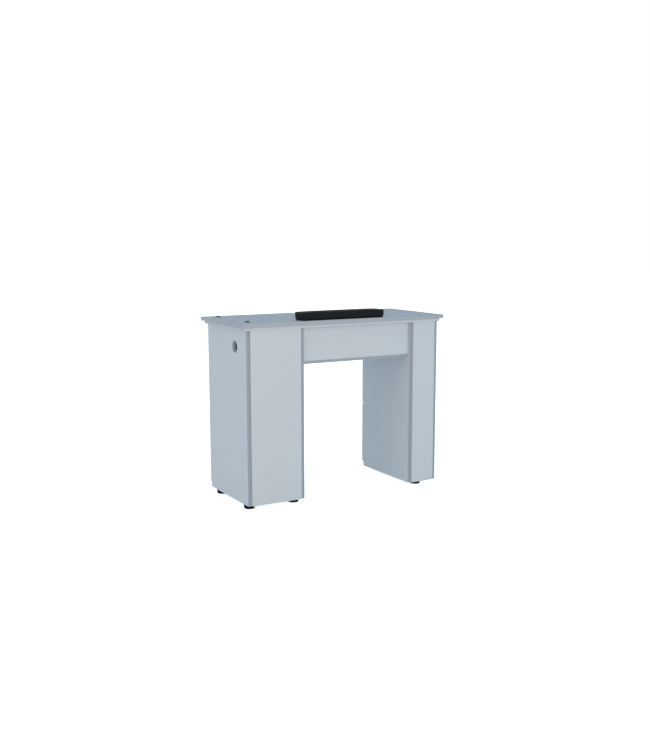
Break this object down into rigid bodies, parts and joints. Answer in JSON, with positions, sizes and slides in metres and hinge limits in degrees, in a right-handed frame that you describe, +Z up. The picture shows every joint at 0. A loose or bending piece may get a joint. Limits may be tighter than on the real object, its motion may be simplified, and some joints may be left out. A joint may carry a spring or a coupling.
{
  "type": "manicure table",
  "caption": "Manicure table with a wide and a narrow pedestal either side of a knee space, a black arm rest on the client's side, and drawers and a cupboard on the technician's side.",
  "frame": {"origin": "on the floor, in the middle of the table's outline from above, pulls included", "axes": "+X along the table towards the narrow pedestal, +Y towards the technician's side where the drawers open, +Z up"},
  "size_m": [0.978, 0.441, 0.802],
  "materials": {
    "light_laminate": "satin melamine-faced board, pale blue-grey",
    "top_laminate": "satin laminate, mid grey-blue",
    "edge_banding": "satin plastic edge band, mid grey-blue",
    "panel_edging": "satin plastic edge band, a shade darker",
    "white_melamine": "satin white melamine-faced board",
    "hardboard": "plain pale hardboard",
    "zinc_steel": "zinc-plated steel",
    "plain_steel": "plain steel",
    "pull_steel": "brushed steel",
    "black_plastic": "fine-grained black plastic",
    "white_plastic": "moulded white plastic",
    "black_board": "black-stained plywood",
    "black_vinyl": "matte black upholstery vinyl over foam"
  },
  "bodies": {
    "carcass": {"top_slab": "top_laminate", "slab_edge_band": "edge_banding", "sub_top": "light_laminate", "left_outer_panel": "light_laminate", "left_inner_panel": "light_laminate", "right_inner_panel": "light_laminate", "right_outer_panel": "light_laminate", "edge_bands": "panel_edging", "left_front_board": "light_laminate", "right_front_board": "light_laminate", "apron": "light_laminate", "centre_floor": "light_laminate", "left_floor": "light_laminate", "left_divider": "light_laminate", "left_shelf": "light_laminate", "shelf_pins": "plain_steel", "right_floor": "light_laminate", "right_dividers": "light_laminate", "cam_nuts": "zinc_steel", "cam_bolts": "zinc_steel", "corner_blocks": "white_plastic", "wood_screws": "plain_steel", "hole_caps": "black_plastic", "feet": "black_plastic", "arm_rest_base": "black_board", "arm_rest_pad": "black_vinyl", "drawer_rails": "zinc_steel", "pivot_brackets": "zinc_steel", "pivot_pins": "plain_steel", "door_catch": "black_plastic"},
    "left_drawer": {"left_drawer_front": "light_laminate", "left_drawer_walls": "white_melamine", "left_drawer_bottom": "hardboard", "left_drawer_runners": "zinc_steel", "left_drawer_pull": "pull_steel"},
    "centre_drawer": {"centre_drawer_front": "light_laminate", "centre_drawer_walls": "white_melamine", "centre_drawer_bottom": "hardboard", "centre_drawer_runners": "zinc_steel", "centre_drawer_pull": "pull_steel"},
    "upper_drawer": {"upper_drawer_front": "light_laminate", "upper_drawer_walls": "white_melamine", "upper_drawer_bottom": "hardboard", "upper_drawer_runners": "zinc_steel", "upper_drawer_pull": "pull_steel"},
    "middle_drawer": {"middle_drawer_front": "light_laminate", "middle_drawer_walls": "white_melamine", "middle_drawer_bottom": "hardboard", "middle_drawer_runners": "zinc_steel", "middle_drawer_pull": "pull_steel"},
    "lower_drawer": {"lower_drawer_front": "light_laminate", "lower_drawer_walls": "white_melamine", "lower_drawer_bottom": "hardboard", "lower_drawer_runners": "zinc_steel", "lower_drawer_pull": "pull_steel"},
    "left_door": {"left_door": "light_laminate", "left_door_bushes": "white_plastic", "left_door_strike": "zinc_steel", "left_door_pull": "pull_steel"}
  },
  "joints": [
    {"name": "left_drawer_slide", "type": "slide", "parent": "carcass", "child": "left_drawer", "axis": [0, 1, 0], "range_m": [0, 0.16]},
    {"name": "centre_drawer_slide", "type": "slide", "parent": "carcass", "child": "centre_drawer", "axis": [0, 1, 0], "range_m": [0, 0.225]},
    {"name": "upper_drawer_slide", "type": "slide", "parent": "carcass", "child": "upper_drawer", "axis": [0, 1, 0], "range_m": [0, 0.225]},
    {"name": "middle_drawer_slide", "type": "slide", "parent": "carcass", "child": "middle_drawer", "axis": [0, 1, 0], "range_m": [0, 0.225]},
    {"name": "lower_drawer_slide", "type": "slide", "parent": "carcass", "child": "lower_drawer", "axis": [0, 1, 0], "range_m": [0, 0.225]},
    {"name": "left_door_hinge", "type": "hinge", "parent": "carcass", "child": "left_door", "pos_m": [-0.4555, 0.1865, 0.3245], "axis": [0, 0, 1], "range_deg": [0, 110]}
  ]
}
